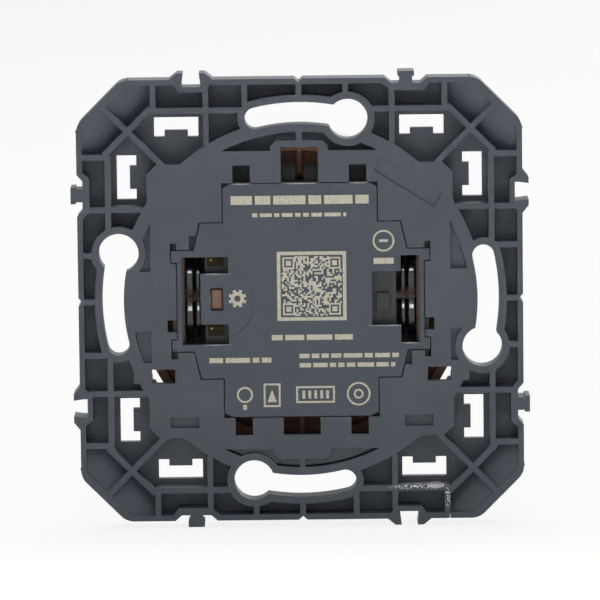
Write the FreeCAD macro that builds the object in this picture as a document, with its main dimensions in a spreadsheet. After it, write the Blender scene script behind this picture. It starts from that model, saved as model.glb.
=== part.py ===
import FreeCAD, Part
import math
import os
import re
import Sketcher

# Wireless remote wall switch, stood upright as on a wall.
# The origin is the middle of the frame's rear face, which lies on the wall in the plane Y = 0.
# +Z is up and the room is towards -Y. A depth is a distance from the wall towards the room.

# Driving dimensions in millimetres and degrees
SIZES = {
    # Plate of the support frame
    "plate_half": 35.5,
    "corner_cut": 7.2,
    "corner_round": 3.0,
    "frame_depth": 5.5,
    "floor_depth": 4.0,
    "rim_wall": 0.9,
    "corner_wall": 1.3,
    "rib_wide": 0.95,
    "skin_wall": 1.5,
    "notch_half": 0.7,
    "notch_deep": 0.6,
    "cut_past": 1.0,
    # Connectors that chain one frame to the next
    "joint_offset": 17.1,
    "joint_reach": 1.0,
    "joint_wall_in": 2.05,
    "fork_foot": 3.5,
    "fork_top": 2.25,
    "fork_mouth": 1.15,
    "fork_floor": 1.5,
    "fork_floor_in": 1.2,
    "fork_shoulder_in": 0.55,
    "head_half": 1.3,
    "head_back": 0.2,
    "neck_half": 1.0,
    "neck_in": 0.9,
    "neck_side": 2.35,
    "neck_foot": 3.4,
    # Fixing slots on the circle of a flush box's screws
    "slot_circle": 30.0,
    "slot_wide": 3.5,
    "slot_end_turn": 13.25,
    "keyhole_turn": 15.0,
    "keyhole_round": 3.2,
    "collar_wall": 1.15,
    "screw_seat": 4.6,
    "screw_seat_deep": 1.5,
    # Ribs
    "cross_rib_at": 30.55,
    "stub_rib_at": 23.2,
    "side_rib_at": 14.8,
    "channel_rib_left": 7.45,
    "channel_rib_right": 8.6,
    "diagonal_from": 30.6,
    "brace_at": 38.64,
    "brace_half": 5.3,
    "ramp_depth": 1.2,
    "ramp_half": 6.0,
    "ramp_root": 0.2,
    # Round well of the rocker and the land that covers it at the rear
    "well_round": 27.0,
    "ring_wall": 2.1,
    "block_wide": 24.4,
    "block_high": 22.0,
    "block_cut": 1.6,
    "land_wide": 16.0,
    "land_high": 24.0,
    "hump_wide": 4.6,
    "hump_high": 25.65,
    "hump_cut": 0.9,
    "side_land_high": 4.85,
    "recess_in": 23.95,
    "recess_top": 12.7,
    "recess_low": 9.85,
    "recess_deep": 1.0,
    "recess_out": 26.2,
    "recess_floor": 0.8,
    "well_floor_from": 3.8,
    "well_floor_to": 4.6,
    "well_floor_edge": 23.4,
    "shoulder_wide": 26.8,
    "shoulder_top_wide": 25.0,
    "shoulder_high": 15.1,
    # Claw windows beside the corners
    "claw_from": 16.05,
    "claw_to": 23.15,
    "claw_in": 26.05,
    "claw_out": 29.2,
    "claw_tab_from": 17.75,
    "claw_tab_to": 21.45,
    "claw_tab_out": 27.1,
    # Openings of the land
    "eye_from": 7.9,
    "eye_to": 10.65,
    "eye_high": 21.7,
    "centre_eye": 2.95,
    "centre_eye_high": 24.6,
    "port_from": 20.2,
    "port_low": 13.2,
    "port_high": 10.95,
    "latch_from": 16.5,
    "latch_to": 21.0,
    "latch_high": 18.7,
    "latch_low": 20.45,
    "latch_deep": 1.0,
    "field_left": 17.3,
    "field_up": 18.75,
    "field_long": 11.1,
    "field_wide": 2.45,
    "field_turn": 32.3,
    "field_deep": 0.3,
    "ear_notch_from": 6.2,
    "ear_notch_to": 9.3,
    "neck_notch_in": 16.2,
    "neck_notch_out": 17.7,
    "neck_notch_high": 10.5,
    "latch_notch_from": 3.0,
    "latch_notch_to": 4.95,
    "latch_notch_out": 21.3,
    # Rear cover of the wireless module
    "cover_gap": 0.15,
    "cover_sunk": 0.1,
    "cover_thick": 1.4,
    "cover_high": 18.75,
    "cover_head": 12.3,
    "cover_head_cut": 0.6,
    "cover_waist": 15.95,
    "cover_waist_high": 12.5,
    "cover_neck": 17.0,
    "cover_arm_high": 8.1,
    "cover_arm": 19.7,
    "cover_ear": 20.6,
    "lever_slot_in": 16.0,
    "lever_slot_out": 18.95,
    "lever_slot_high": 7.05,
    "contact_slot_in": 11.55,
    "contact_slot_upper": 4.35,
    "contact_slot_lower": 3.8,
    "service_in": 11.4,
    "service_top": 4.5,
    "service_low": 4.2,
    "spigot_half": 10.0,
    "spigot_wide": 0.9,
    "spigot_long": 1.0,
    "dial_at": 13.5,
    "dial_round": 6.0,
    "dial_deep": 0.12,
    "dial_low": 0.3,
    # Module housing
    "housing_head": 12.9,
    "housing_high": 18.6,
    "housing_waist": 16.8,
    "housing_waist_high": 13.2,
    "housing_neck": 17.8,
    "housing_arm_high": 9.4,
    "housing_arm": 20.5,
    "housing_depth": 11.2,
    "housing_wall": 1.2,
    "post_round": 1.2,
    "post_x": 10.0,
    "post_z": 15.4,
    "fit_gap": 0.05,
    # Circuit board and what it carries
    "board_rear": 3.4,
    "board_thick": 0.8,
    "board_gap": 0.25,
    "board_half": 15.3,
    "chip_side": 5.0,
    "chip_thick": 0.9,
    "chip_x": -3.5,
    "chip_z": 3.0,
    "inductor_wide": 2.1,
    "inductor_long": 2.8,
    "inductor_thick": 1.1,
    "inductor_x": -13.15,
    "inductor_z": -0.7,
    "rectifier_side": 3.2,
    "rectifier_thick": 1.1,
    "rectifier_x": -9.0,
    "rectifier_z": 4.0,
    "capacitor_round": 2.7,
    "capacitor_long": 9.5,
    "capacitor_z": 9.2,
    "antenna_bars": 9,
    "antenna_pitch": 2.2,
    "antenna_high": 3.2,
    "antenna_strip": 0.7,
    "antenna_thick": 0.4,
    "antenna_z": 13.2,
    "contact_wide": 1.7,
    "contact_thick": 0.2,
    "contact_long": 2.6,
    "contact_lift": 1.2,
    "contact_droop": 0.8,
    "contact_x": 14.9,
    "contact_upper": 5.3,
    "contact_lower": -5.9,
    # Pairing button
    "button_x": 13.4,
    "button_z": 0.25,
    "button_window_wide": 2.1,
    "button_window_high": 3.65,
    "button_wide": 1.5,
    "button_high": 2.9,
    "button_sunk": 0.6,
    "button_flange": 0.7,
    "button_flange_thick": 0.4,
    "button_travel": 0.3,
    "button_play": 0.1,
    "switch_side": 3.6,
    # Harvester
    "lever_depth": 5.7,
    "shaft_round": 1.2,
    "shaft_end_play": 0.2,
    "lobe_round": 2.2,
    "lobe_at": 4.3,
    "lobe_in": 17.2,
    "lobe_out": 18.4,
    "web_share": 0.7,
    "cheek_in": 16.1,
    "cheek_out": 16.7,
    "cheek_round": 1.6,
    "cheek_at": 2.4,
    "wear_plate_thick": 0.6,
    "wear_plate_half": 6.9,
    "wear_plate_front": 9.6,
    "saddle_half": 4.0,
    "saddle_high": 1.6,
    "saddle_rear": 4.7,
    "core_depth": 7.2,
    "core_leg_thick": 2.0,
    "core_leg_in": 10.5,
    "core_leg_wide": 2.0,
    "core_leg_top": 2.2,
    "core_bar_round": 1.0,
    "coil_z": 9.0,
    "coil_half": 9.0,
    "coil_tube": 1.55,
    "coil_round": 2.6,
    "flange_half": 2.8,
    "flange_thick": 0.8,
    "pole_gap": 0.4,
    "pole_thick": 0.8,
    "pole_high": 3.0,
    "magnet_half": 3.9,
    # Rocker
    "hinge_depth": 8.6,
    "hinge_pin_round": 1.0,
    "hinge_pin_long": 2.9,
    "hinge_gap": 0.05,
    "ear_in": 20.9,
    "ear_thick": 1.4,
    "ear_round": 2.3,
    "carrier_depth": 12.6,
    "carrier_thick": 1.2,
    "carrier_round": 24.1,
    "carrier_ring": 0.9,
    "carrier_flange": 1.0,
    "rim_rear": 6.6,
    "rim_thick": 1.4,
    "carrier_rib_from": 19.3,
    "carrier_rib_wide": 0.8,
    "carrier_rib_long": 3.1,
    "prong_gap": 0.3,
    "prong_high": 1.8,
    "prong_slot_gap": 0.4,
    "cap_gap": 0.7,
    "cap_wall": 1.8,
    "cap_front": 1.7,
    "cap_rear": 9.8,
    "cap_bevel": 0.6,
    "spring_half": 14.5,
    "spring_seat": 4.0,
    "spring_wide": 7.0,
    "spring_thick": 0.2,
    "spring_gap": 0.3,
}

V = FreeCAD.Vector
WORD = re.compile(r"[a-z_][a-z0-9_]*")

doc = FreeCAD.newDocument("wall_remote")
sheet = doc.addObject("Spreadsheet::Sheet", "Sizes")
for row, (alias, number) in enumerate(SIZES.items(), start=1):
    sheet.set("A%d" % row, alias)
    sheet.set("B%d" % row, str(number))
    sheet.setAlias("B%d" % row, alias)
doc.recompute()


def bound(text):
    """Expression in which each size's name is led by the sheet's name."""
    return WORD.sub(lambda word: "Sizes." + word[0] if word[0] in SIZES else word[0], text)


def value(text):
    """Number that an expression of the sheet's sizes gives."""
    result = sheet.evalExpression(bound(text))
    return float(getattr(result, "Value", result))


def minus(text):
    """Expression with the opposite sign."""
    return "-(%s)" % text


def origin_part(body, role):
    """Plane or axis of a body's own origin."""
    return next(item for item in body.Origin.OriginFeatures if item.Role == role)


def new_body(label):
    """Empty body for one moulded, stamped or turned piece."""
    body = doc.addObject("PartDesign::Body", label)
    body.Label = label
    return body


def new_sketch(body, name, depth="0", turn="0", role="XZ_Plane"):
    """Sketch set off along its plane's normal, which for XZ_Plane is the depth, and turned in its plane."""
    made = body.newObject("Sketcher::SketchObject", name)
    made.AttachmentSupport = [(origin_part(body, role), "")]
    made.MapMode = "FlatFace"
    made.AttachmentOffset = FreeCAD.Placement(V(0, 0, 0), FreeCAD.Rotation(V(0, 0, 1), value(turn)))
    made.setExpression("AttachmentOffset.Base.z", bound(depth))
    if turn != "0":
        made.setExpression("AttachmentOffset.Rotation.Angle", bound(turn))
    return made


def hold_points(made, holds):
    """Tie points of a sketch to pairs of expressions, measured from the sketch's origin."""
    rules = []
    ties = []
    for geometry, point, x, y in holds:
        for kind, axis, text in (("DistanceX", -2, x), ("DistanceY", -1, y)):
            number = value(text)
            if abs(number) < 1e-9:
                rules.append(Sketcher.Constraint("PointOnObject", geometry, point, axis))
            else:
                ties.append((len(rules), text))
                rules.append(Sketcher.Constraint(kind, -1, 1, geometry, point, number))
    first = made.ConstraintCount
    made.addConstraint(rules)
    for index, text in ties:
        made.setExpression("Constraints[%d]" % (first + index), bound(text))


def outline(made, points):
    """Closed outline of straight edges whose corners follow the sizes."""
    corners = [V(value(x), value(y), 0) for x, y in points]
    count = len(corners)
    first = made.GeometryCount
    edges = [Part.LineSegment(corners[i], corners[(i + 1) % count]) for i in range(count)]
    made.addGeometry(edges, False)
    joints = [Sketcher.Constraint("Coincident", first + i, 2, first + (i + 1) % count, 1) for i in range(count)]
    made.addConstraint(joints)
    hold_points(made, [(first + i, 1, x, y) for i, (x, y) in enumerate(points)])


def rectangle(made, x0, x1, y0, y1):
    """Rectangle between two expressions each way."""
    outline(made, [(x0, y0), (x1, y0), (x1, y1), (x0, y1)])


def bar(made, x, y, half_x, half_y):
    """Rectangle about a centre."""
    rectangle(made, "%s - %s" % (x, half_x), "%s + %s" % (x, half_x), "%s - %s" % (y, half_y), "%s + %s" % (y, half_y))


def circle(made, x, y, radius):
    """Circle whose centre and radius follow the sizes."""
    index = made.addGeometry(Part.Circle(V(value(x), value(y), 0), V(0, 0, 1), value(radius)), False)
    hold_points(made, [(index, 3, x, y)])
    rule = made.addConstraint(Sketcher.Constraint("Radius", index, value(radius)))
    made.setExpression("Constraints[%d]" % rule, bound(radius))


def clipped_circle(made, radius, edge):
    """Circle about the origin, cut off straight above and below."""
    reach = value(radius)
    half_turn = math.asin(value(edge) / reach)
    arcs = [Part.ArcOfCircle(Part.Circle(V(0, 0, 0), V(0, 0, 1), reach), turn - half_turn, turn + half_turn)
            for turn in (0, math.pi)]
    ends = [(arc.StartPoint, arc.EndPoint) for arc in arcs]
    lines = [Part.LineSegment(ends[0][1], ends[1][0]), Part.LineSegment(ends[1][1], ends[0][0])]
    made.addGeometry([arcs[0], lines[0], arcs[1], lines[1]], False)
    rules = [Sketcher.Constraint("Coincident", number, 2, (number + 1) % 4, 1) for number in range(4)]
    rules += [Sketcher.Constraint("Coincident", number, 3, -1, 1) for number in (0, 2)]
    rules += [Sketcher.Constraint("Horizontal", number) for number in (1, 3)]
    rules += [Sketcher.Constraint("Vertical", 1, 1, 3, 2), Sketcher.Constraint("Radius", 0, reach),
              Sketcher.Constraint("DistanceY", -1, 1, 1, 1, value(edge))]
    made.addConstraint(rules)
    made.setExpression("Constraints[%d]" % (len(rules) - 2), bound(radius))
    made.setExpression("Constraints[%d]" % (len(rules) - 1), bound(edge))


def pad(body, made, length, both_ways=False):
    """Solid grown from a sketch along its normal."""
    feature = body.newObject("PartDesign::Pad", made.Name + "_pad")
    feature.Profile = made
    feature.Midplane = both_ways
    feature.setExpression("Length", bound(length))
    return feature


def pocket(body, made, length, both_ways=False):
    """Cut from a sketch along its normal; it has to take something away."""
    doc.recompute()
    before = body.Shape.Volume
    feature = body.newObject("PartDesign::Pocket", made.Name + "_cut")
    feature.Profile = made
    feature.Midplane = both_ways
    feature.Reversed = not both_ways
    feature.setExpression("Length", bound(length))
    doc.recompute()
    if body.Shape.Volume >= before:
        raise ValueError("%s cuts nothing" % feature.Name)
    return feature


def four_times(body, name, features):
    """Repeat features on the plate's four sides."""
    pattern = body.newObject("PartDesign::PolarPattern", name)
    pattern.Originals = features
    pattern.Axis = (origin_part(body, "Y_Axis"), [""])
    pattern.Angle = 360
    pattern.Occurrences = 4
    body.Tip = pattern
    doc.recompute()
    return pattern


def quarter_turned(points, turns):
    """Outline points turned by quarter turns about the middle."""
    for _ in range(turns):
        points = [(minus(y), x) for x, y in points]
    return points


def mirrored_ring(quadrant):
    """Closed outline from the points of its upper right quarter, listed from the top to the side."""
    other_way = quadrant[::-1]
    left = [(minus(x), y) for x, y in quadrant] + [(minus(x), minus(y)) for x, y in other_way]
    return other_way + left + [(x, minus(y)) for x, y in quadrant]


def rim_inside():
    """Inner face of the rim along one side, which steps in behind the fork and the tee."""
    face = "plate_half - rim_wall"
    step = "plate_half - joint_wall_in"
    corner = "plate_half - corner_cut - corner_wall * sqrt(2) + rim_wall"
    return [
        (corner, face),
        ("joint_offset + fork_top + rib_wide / 2", face),
        ("joint_offset + fork_floor + rib_wide / 2", step),
        ("joint_offset - fork_top", step),
        ("joint_offset - fork_foot + rib_wide / 2", face),
        ("-(joint_offset - neck_foot - rib_wide / 2)", face),
        ("-(joint_offset - neck_side)", step),
        ("-(joint_offset + neck_side + rib_wide / 2)", step),
        ("-(joint_offset + neck_foot + rib_wide / 3)", face),
        (minus(corner), face),
    ]


def turned_band(body, name, reach, middle, sweep, near, far):
    """Band of a ring on the slot circle: a rectangle between two depths, swung about the plate's axis."""
    made = body.newObject("Sketcher::SketchObject", name)
    made.AttachmentSupport = [(origin_part(body, "YZ_Plane"), "")]
    made.MapMode = "FlatFace"
    made.AttachmentOffset = FreeCAD.Placement(V(0, 0, 0), FreeCAD.Rotation(V(1, 0, 0), 1))
    made.setExpression("AttachmentOffset.Rotation.Angle", bound(middle))
    rectangle(made, minus(far), minus(near), "slot_circle - (%s)" % reach, "slot_circle + %s" % reach)
    feature = body.newObject("PartDesign::Revolution", name + "_swing")
    feature.Profile = made
    feature.ReferenceAxis = (origin_part(body, "Y_Axis"), [""])
    feature.Midplane = True
    feature.setExpression("Angle", bound(sweep))
    return feature


SLOT_MIDDLE = "(slot_end_turn - keyhole_turn) / 2"
SLOT_SWEEP = "slot_end_turn + keyhole_turn"
SLOT_END = ("slot_circle * sin(slot_end_turn)", "slot_circle * cos(slot_end_turn)")
KEYHOLE = ("-slot_circle * sin(keyhole_turn)", "slot_circle * cos(keyhole_turn)")
CHAMFER = "((2 * plate_half - corner_cut) / sqrt(2))"


def make_frame_tray():
    """Plate with its rim, and the land that covers the round well at the rear with its openings."""
    body = new_body("frame_tray")
    plate = new_sketch(body, "plate")
    outline(plate, mirrored_ring([("plate_half - corner_cut", "plate_half"), ("plate_half", "plate_half - corner_cut")]))
    pad(body, plate, "frame_depth")
    doc.recompute()
    upright = [number for number, edge in enumerate(body.Shape.Edges, start=1)
               if edge.BoundBox.YLength > value("frame_depth") / 2]
    corners = body.newObject("PartDesign::Fillet", "plate_corners")
    corners.Base = (body.getObject("plate_pad") or doc.getObject("plate_pad"), ["Edge%d" % number for number in upright])
    corners.setExpression("Radius", bound("corner_round"))
    tray = new_sketch(body, "tray")
    outline(tray, [point for turns in range(4) for point in quarter_turned(rim_inside(), turns)])
    pocket(body, tray, "floor_depth")

    block = new_sketch(body, "block")
    outline(block, mirrored_ring([("block_wide - block_cut", "block_high"), ("block_wide", "block_high - block_cut")]))
    pad(body, block, "floor_depth")
    shoulders = new_sketch(body, "shoulders")
    rectangle(shoulders, "-shoulder_top_wide", "shoulder_top_wide", "recess_top", "shoulder_high")
    rectangle(shoulders, "-shoulder_wide", "shoulder_wide", "-port_low", "-recess_low")
    pad(body, shoulders, "skin_wall")
    land = new_sketch(body, "land")
    rectangle(land, "-land_wide", "land_wide", "-land_high", "land_high")
    pad(body, land, "skin_wall")
    hump = new_sketch(body, "hump")
    outline(hump, mirrored_ring([("hump_wide - hump_cut", "hump_high"), ("hump_wide", "hump_high - hump_cut")]))
    pad(body, hump, "skin_wall")
    flush = new_sketch(body, "side_land")
    rectangle(flush, "-well_round - ring_wall / 2", "well_round + ring_wall / 2", "-side_land_high", "side_land_high")
    pad(body, flush, "skin_wall")
    keel = new_sketch(body, "hump_keel")
    rectangle(keel, "-rib_wide / 2", "rib_wide / 2", "-well_round - rib_wide", "well_round + rib_wide")
    pad(body, keel, "skin_wall")
    for part, start, end in (("rear", "skin_wall", "well_floor_from"), ("front", "well_floor_to", "frame_depth")):
        well = new_sketch(body, "well_" + part, start)
        circle(well, "0", "0", "well_round")
        pocket(body, well, "%s - %s" % (end, start))
    middle = new_sketch(body, "well_middle", "well_floor_from")
    clipped_circle(middle, "well_round", "well_floor_edge")
    pocket(body, middle, "well_floor_to - well_floor_from")

    floors = new_sketch(body, "recess_floors", "recess_deep")
    for sign in ("", "-"):
        for sign_z, end in (("", "recess_top"), ("-", "recess_low")):
            rectangle(floors, sign + "(recess_in - rib_wide)", sign + "recess_out",
                      sign_z + "side_land_high", sign_z + end)
    pad(body, floors, "recess_floor")
    recess = new_sketch(body, "side_recess")
    for sign in ("", "-"):
        rectangle(recess, sign + "recess_in", sign + "shoulder_wide", "side_land_high", "recess_top")
        rectangle(recess, sign + "recess_in", sign + "shoulder_wide", "-side_land_high", "-recess_low")
    pocket(body, recess, "recess_deep")
    opening = new_sketch(body, "module_opening")
    outline(opening, mirrored_ring([
        ("cover_head + cover_gap", "cover_high + cover_gap"),
        ("cover_head + cover_gap", "cover_waist_high + cover_gap"),
        ("cover_waist + cover_gap", "cover_waist_high + cover_gap"),
        ("cover_neck + cover_gap", "cover_arm_high + cover_gap"),
        ("cover_arm + cover_gap / 2", "cover_arm_high + cover_gap"),
        ("cover_arm + cover_gap / 2", "ear_notch_to"),
        ("cover_ear + cover_gap", "ear_notch_to"),
        ("cover_ear + cover_gap", "ear_notch_from - cover_gap"),
        ("cover_arm + cover_gap", "ear_notch_from - cover_gap"),
    ]))
    pocket(body, opening, "skin_wall")
    eyes = new_sketch(body, "eyes")
    for sign_z in ("", "-"):
        inner = sign_z + "(cover_high - skin_wall)"
        for sign_x in ("", "-"):
            rectangle(eyes, sign_x + "eye_from", sign_x + "eye_to", inner, sign_z + "eye_high")
        rectangle(eyes, "-centre_eye", "centre_eye", inner, "-eye_high" if sign_z else "centre_eye_high")
        rectangle(eyes, sign_z + "(cover_arm - skin_wall)", sign_z + "latch_notch_out",
                  "-latch_notch_to", "-latch_notch_from")
        rectangle(eyes, sign_z + "neck_notch_in", sign_z + "neck_notch_out",
                  sign_z + "cover_arm_high", sign_z + "neck_notch_high")
    pocket(body, eyes, "skin_wall")
    return body


def make_frame_ribs():
    """Ring wall of the well, and the ribs, collars, ramps, forks and tees that each side repeats."""
    body = new_body("frame_ribs")
    ring = new_sketch(body, "ring")
    circle(ring, "0", "0", "well_round")
    circle(ring, "0", "0", "well_round + ring_wall")
    pad(body, ring, "floor_depth")
    cross = new_sketch(body, "cross_rib")
    rectangle(cross, "-stub_rib_at - rib_wide / 2", "stub_rib_at + rib_wide / 2",
              "cross_rib_at - rib_wide / 2", "cross_rib_at + rib_wide / 2")
    stubs = new_sketch(body, "stub_ribs")
    sides = new_sketch(body, "side_ribs")
    for sign in ("", "-"):
        bar(stubs, sign + "stub_rib_at", "(cross_rib_at + plate_half) / 2", "rib_wide / 2",
            "(plate_half - cross_rib_at) / 2")
        rectangle(sides, sign + "side_rib_at - rib_wide / 2", sign + "side_rib_at + rib_wide / 2",
                  "land_high + rib_wide", "plate_half - joint_wall_in + rib_wide / 2")
    channel = new_sketch(body, "channel_ribs")
    for place, low in (("channel_rib_right", "collar_wall"), ("0", "(slot_wide + collar_wall) / 2"),
                       ("-channel_rib_left", "keyhole_round")):
        rectangle(channel, place + " - rib_wide / 2", place + " + rib_wide / 2",
                  "slot_circle + " + low, "plate_half - rim_wall / 2")
    diagonal = new_sketch(body, "diagonal_rib", "0", "45")
    rectangle(diagonal, "diagonal_from", CHAMFER + " - corner_wall / 2", "-rib_wide / 2", "rib_wide / 2")
    brace = new_sketch(body, "brace_rib", "0", "45")
    bar(brace, "brace_at", "0", "rib_wide / 2", "brace_half")
    side = [pad(body, made, "floor_depth") for made in (cross, stubs, sides, channel, diagonal, brace)]
    ramp = body.newObject("Sketcher::SketchObject", "corner_ramp")
    ramp.AttachmentSupport = [(origin_part(body, "YZ_Plane"), "")]
    ramp.MapMode = "FlatFace"
    ramp.AttachmentOffset = FreeCAD.Placement(V(0, 0, 0), FreeCAD.Rotation(V(1, 0, 0), 45))
    outer = CHAMFER + " - corner_wall / 2"
    outline(ramp, [("-floor_depth", "brace_at"), ("-floor_depth - ramp_root", outer), ("-ramp_depth", outer)])
    side.append(pad(body, ramp, "2 * ramp_half", both_ways=True))
    collar = "(slot_wide / 2 + collar_wall)"
    side.append(turned_band(body, "collar_band", collar, SLOT_MIDDLE, SLOT_SWEEP, "0", "floor_depth"))
    collars = new_sketch(body, "collar_ends")
    circle(collars, SLOT_END[0], SLOT_END[1], collar)
    circle(collars, KEYHOLE[0], KEYHOLE[1], "keyhole_round + collar_wall")
    side.append(pad(body, collars, "floor_depth"))
    joints = new_sketch(body, "fork_and_tee")
    root = "plate_half - rim_wall / 2"
    tip = "plate_half + joint_reach"
    outline(joints, [("joint_offset + fork_foot", root), ("joint_offset + fork_foot", "plate_half"),
                     ("joint_offset + fork_top", tip), ("joint_offset - fork_top", tip),
                     ("joint_offset - fork_foot", "plate_half"), ("joint_offset - fork_foot", root)])
    rectangle(joints, "-joint_offset - head_half", "-joint_offset + head_half", "plate_half + head_back", tip)
    side.append(pad(body, joints, "frame_depth"))
    neck = new_sketch(body, "tee_neck")
    rectangle(neck, "-joint_offset - neck_half", "-joint_offset + neck_half", root, tip + " - head_back")
    side.append(pad(body, neck, "frame_depth"))
    four_times(body, "ribs_of_each_side", side)
    return body


def make_frame_cuts():
    """Everything that goes right through the frame: slots, keyholes, claw windows, ports and edge notches."""
    body = new_body("frame_cuts")
    near = "-cut_past"
    far = "frame_depth + cut_past"
    depth = "frame_depth + 2 * cut_past"
    side = [turned_band(body, "slot_band", "slot_wide / 2", SLOT_MIDDLE, SLOT_SWEEP, near, far)]
    ends = new_sketch(body, "slot_ends", near)
    circle(ends, SLOT_END[0], SLOT_END[1], "slot_wide / 2")
    circle(ends, KEYHOLE[0], KEYHOLE[1], "keyhole_round")
    windows = new_sketch(body, "claw_windows", near)
    for sign in ("", "-"):
        outline(windows, [(sign + "claw_from", "claw_in"), (sign + "claw_tab_from", "claw_in"),
                          (sign + "claw_tab_from", "claw_tab_out"), (sign + "claw_tab_to", "claw_tab_out"),
                          (sign + "claw_tab_to", "claw_in"), (sign + "claw_to", "claw_in"),
                          (sign + "claw_to", "claw_out"), (sign + "claw_from", "claw_out")])
    notches = new_sketch(body, "edge_notches", near)
    edge = "plate_half"
    past = "plate_half + joint_reach + cut_past"
    outline(notches, [("joint_offset - fork_mouth", past), ("joint_offset - fork_floor", edge + " - fork_shoulder_in"),
                      ("joint_offset - fork_floor", edge + " - fork_floor_in"),
                      ("joint_offset + fork_floor", edge + " - fork_floor_in"),
                      ("joint_offset + fork_floor", edge + " - fork_shoulder_in"), ("joint_offset + fork_mouth", past)])
    outline(notches, [("-notch_half", edge), ("0", edge + " - notch_deep"), ("notch_half", edge),
                      ("notch_half", past), ("-notch_half", past)])
    for sign in ("+", "-"):
        tee = "-joint_offset %s " % sign
        outline(notches, [(tee + "neck_half", edge + " + head_back"), (tee + "neck_half", edge + " - neck_in"),
                          (tee + "neck_side", edge + " - neck_in"), (tee + "neck_foot", edge),
                          (tee + "neck_foot", edge + " + head_back")])
    side += [pad(body, made, depth) for made in (ends, windows, notches)]
    seat = "frame_depth - screw_seat_deep"
    side.append(turned_band(body, "screw_seat_band", "screw_seat / 2", SLOT_MIDDLE, SLOT_SWEEP, seat, far))
    seats = new_sketch(body, "screw_seat_ends", seat)
    circle(seats, SLOT_END[0], SLOT_END[1], "screw_seat / 2")
    circle(seats, KEYHOLE[0], KEYHOLE[1], "keyhole_round + (screw_seat - slot_wide) / 2")
    side.append(pad(body, seats, "screw_seat_deep + cut_past"))
    four_times(body, "cuts_of_each_side", side)
    ports = new_sketch(body, "ports", near)
    for sign in ("", "-"):
        rectangle(ports, sign + "port_from", sign + "recess_in", "-port_low", "-port_high")
    rectangle(ports, "-centre_eye", "centre_eye", "eye_high", "centre_eye_high")
    pad(body, ports, depth)
    field = new_sketch(body, "bare_field", near, "field_turn")
    bar(field, "(field_up * sin(field_turn) - field_left * cos(field_turn))",
        "(field_up * cos(field_turn) + field_left * sin(field_turn))", "field_long / 2", "field_wide / 2")
    pad(body, field, "cut_past + field_deep")
    latches = new_sketch(body, "latch_pockets", near)
    for sign in ("", "-"):
        rectangle(latches, sign + "latch_from", sign + "latch_to", "-latch_low", "-latch_high")
    pad(body, latches, "cut_past + latch_deep")
    return body


def make_support_frame():
    """Moulded frame: the tray joined with its ribs, less everything that goes through."""
    joined = doc.addObject("Part::Fuse", "frame_with_ribs")
    joined.Base = make_frame_tray()
    joined.Tool = make_frame_ribs()
    frame = doc.addObject("Part::Cut", "support_frame")
    frame.Label = "support_frame"
    frame.Base = joined
    frame.Tool = make_frame_cuts()
    frame.Refine = True
    return frame


def cover_outline():
    """Outline of the module's cover."""
    return mirrored_ring([
        ("cover_head - 2 * cover_head_cut", "cover_high"),
        ("cover_head", "cover_high - cover_head_cut"),
        ("cover_head", "cover_waist_high"),
        ("cover_waist", "cover_waist_high"),
        ("cover_neck", "cover_arm_high"),
        ("cover_ear", "cover_arm_high"),
        ("cover_ear", "ear_notch_from"),
        ("cover_arm", "ear_notch_from"),
    ])


def make_rear_cover():
    """Cover of the module with its lever slots, contact slots, service recess and button window."""
    body = new_body("rear_cover")
    sheet_part = new_sketch(body, "cover_plate", "cover_sunk")
    outline(sheet_part, cover_outline())
    pad(body, sheet_part, "cover_thick")
    spigots = new_sketch(body, "cover_spigots", "cover_sunk + cover_thick")
    rim = "housing_high - housing_wall - fit_gap"
    for sign in ("", "-"):
        rectangle(spigots, "-spigot_half", "spigot_half", sign + "(%s)" % rim, sign + "(%s - spigot_wide)" % rim)
    pad(body, spigots, "spigot_long")
    cuts = new_sketch(body, "cover_slots", "cover_sunk")
    outline(cuts, [
        ("lever_slot_out", "-lever_slot_high"), ("lever_slot_out", "lever_slot_high"),
        ("contact_slot_in", "lever_slot_high"), ("contact_slot_in", "contact_slot_upper"),
        ("lever_slot_in", "contact_slot_upper"), ("lever_slot_in", "-contact_slot_lower"),
        ("contact_slot_in", "-contact_slot_lower"), ("contact_slot_in", "-lever_slot_high"),
    ])
    outline(cuts, [
        ("-lever_slot_out", "-lever_slot_high"), ("-lever_slot_in", "-lever_slot_high"),
        ("-lever_slot_in", "-service_low"), ("-service_in", "-service_low"),
        ("-service_in", "service_top"), ("-lever_slot_in", "service_top"),
        ("-lever_slot_in", "lever_slot_high"), ("-lever_slot_out", "lever_slot_high"),
    ])
    bar(cuts, "button_x", "button_z", "button_window_wide / 2", "button_window_high / 2")
    pocket(body, cuts, "cover_thick")
    dial = new_sketch(body, "dial_step", "cover_sunk")
    circle(dial, "dial_at", "-dial_low", "dial_round")
    pocket(body, dial, "dial_deep")
    return body


def housing_outline(inset):
    """Outline of the housing, drawn in by a wall."""
    corners = [("housing_head", "housing_high"), ("housing_waist", "housing_waist_high"),
               ("housing_neck", "housing_arm_high"), ("housing_arm", "housing_arm_high")]
    return mirrored_ring([("%s - %s" % (x, inset), "%s - %s" % (z, inset)) for x, z in corners])


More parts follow.
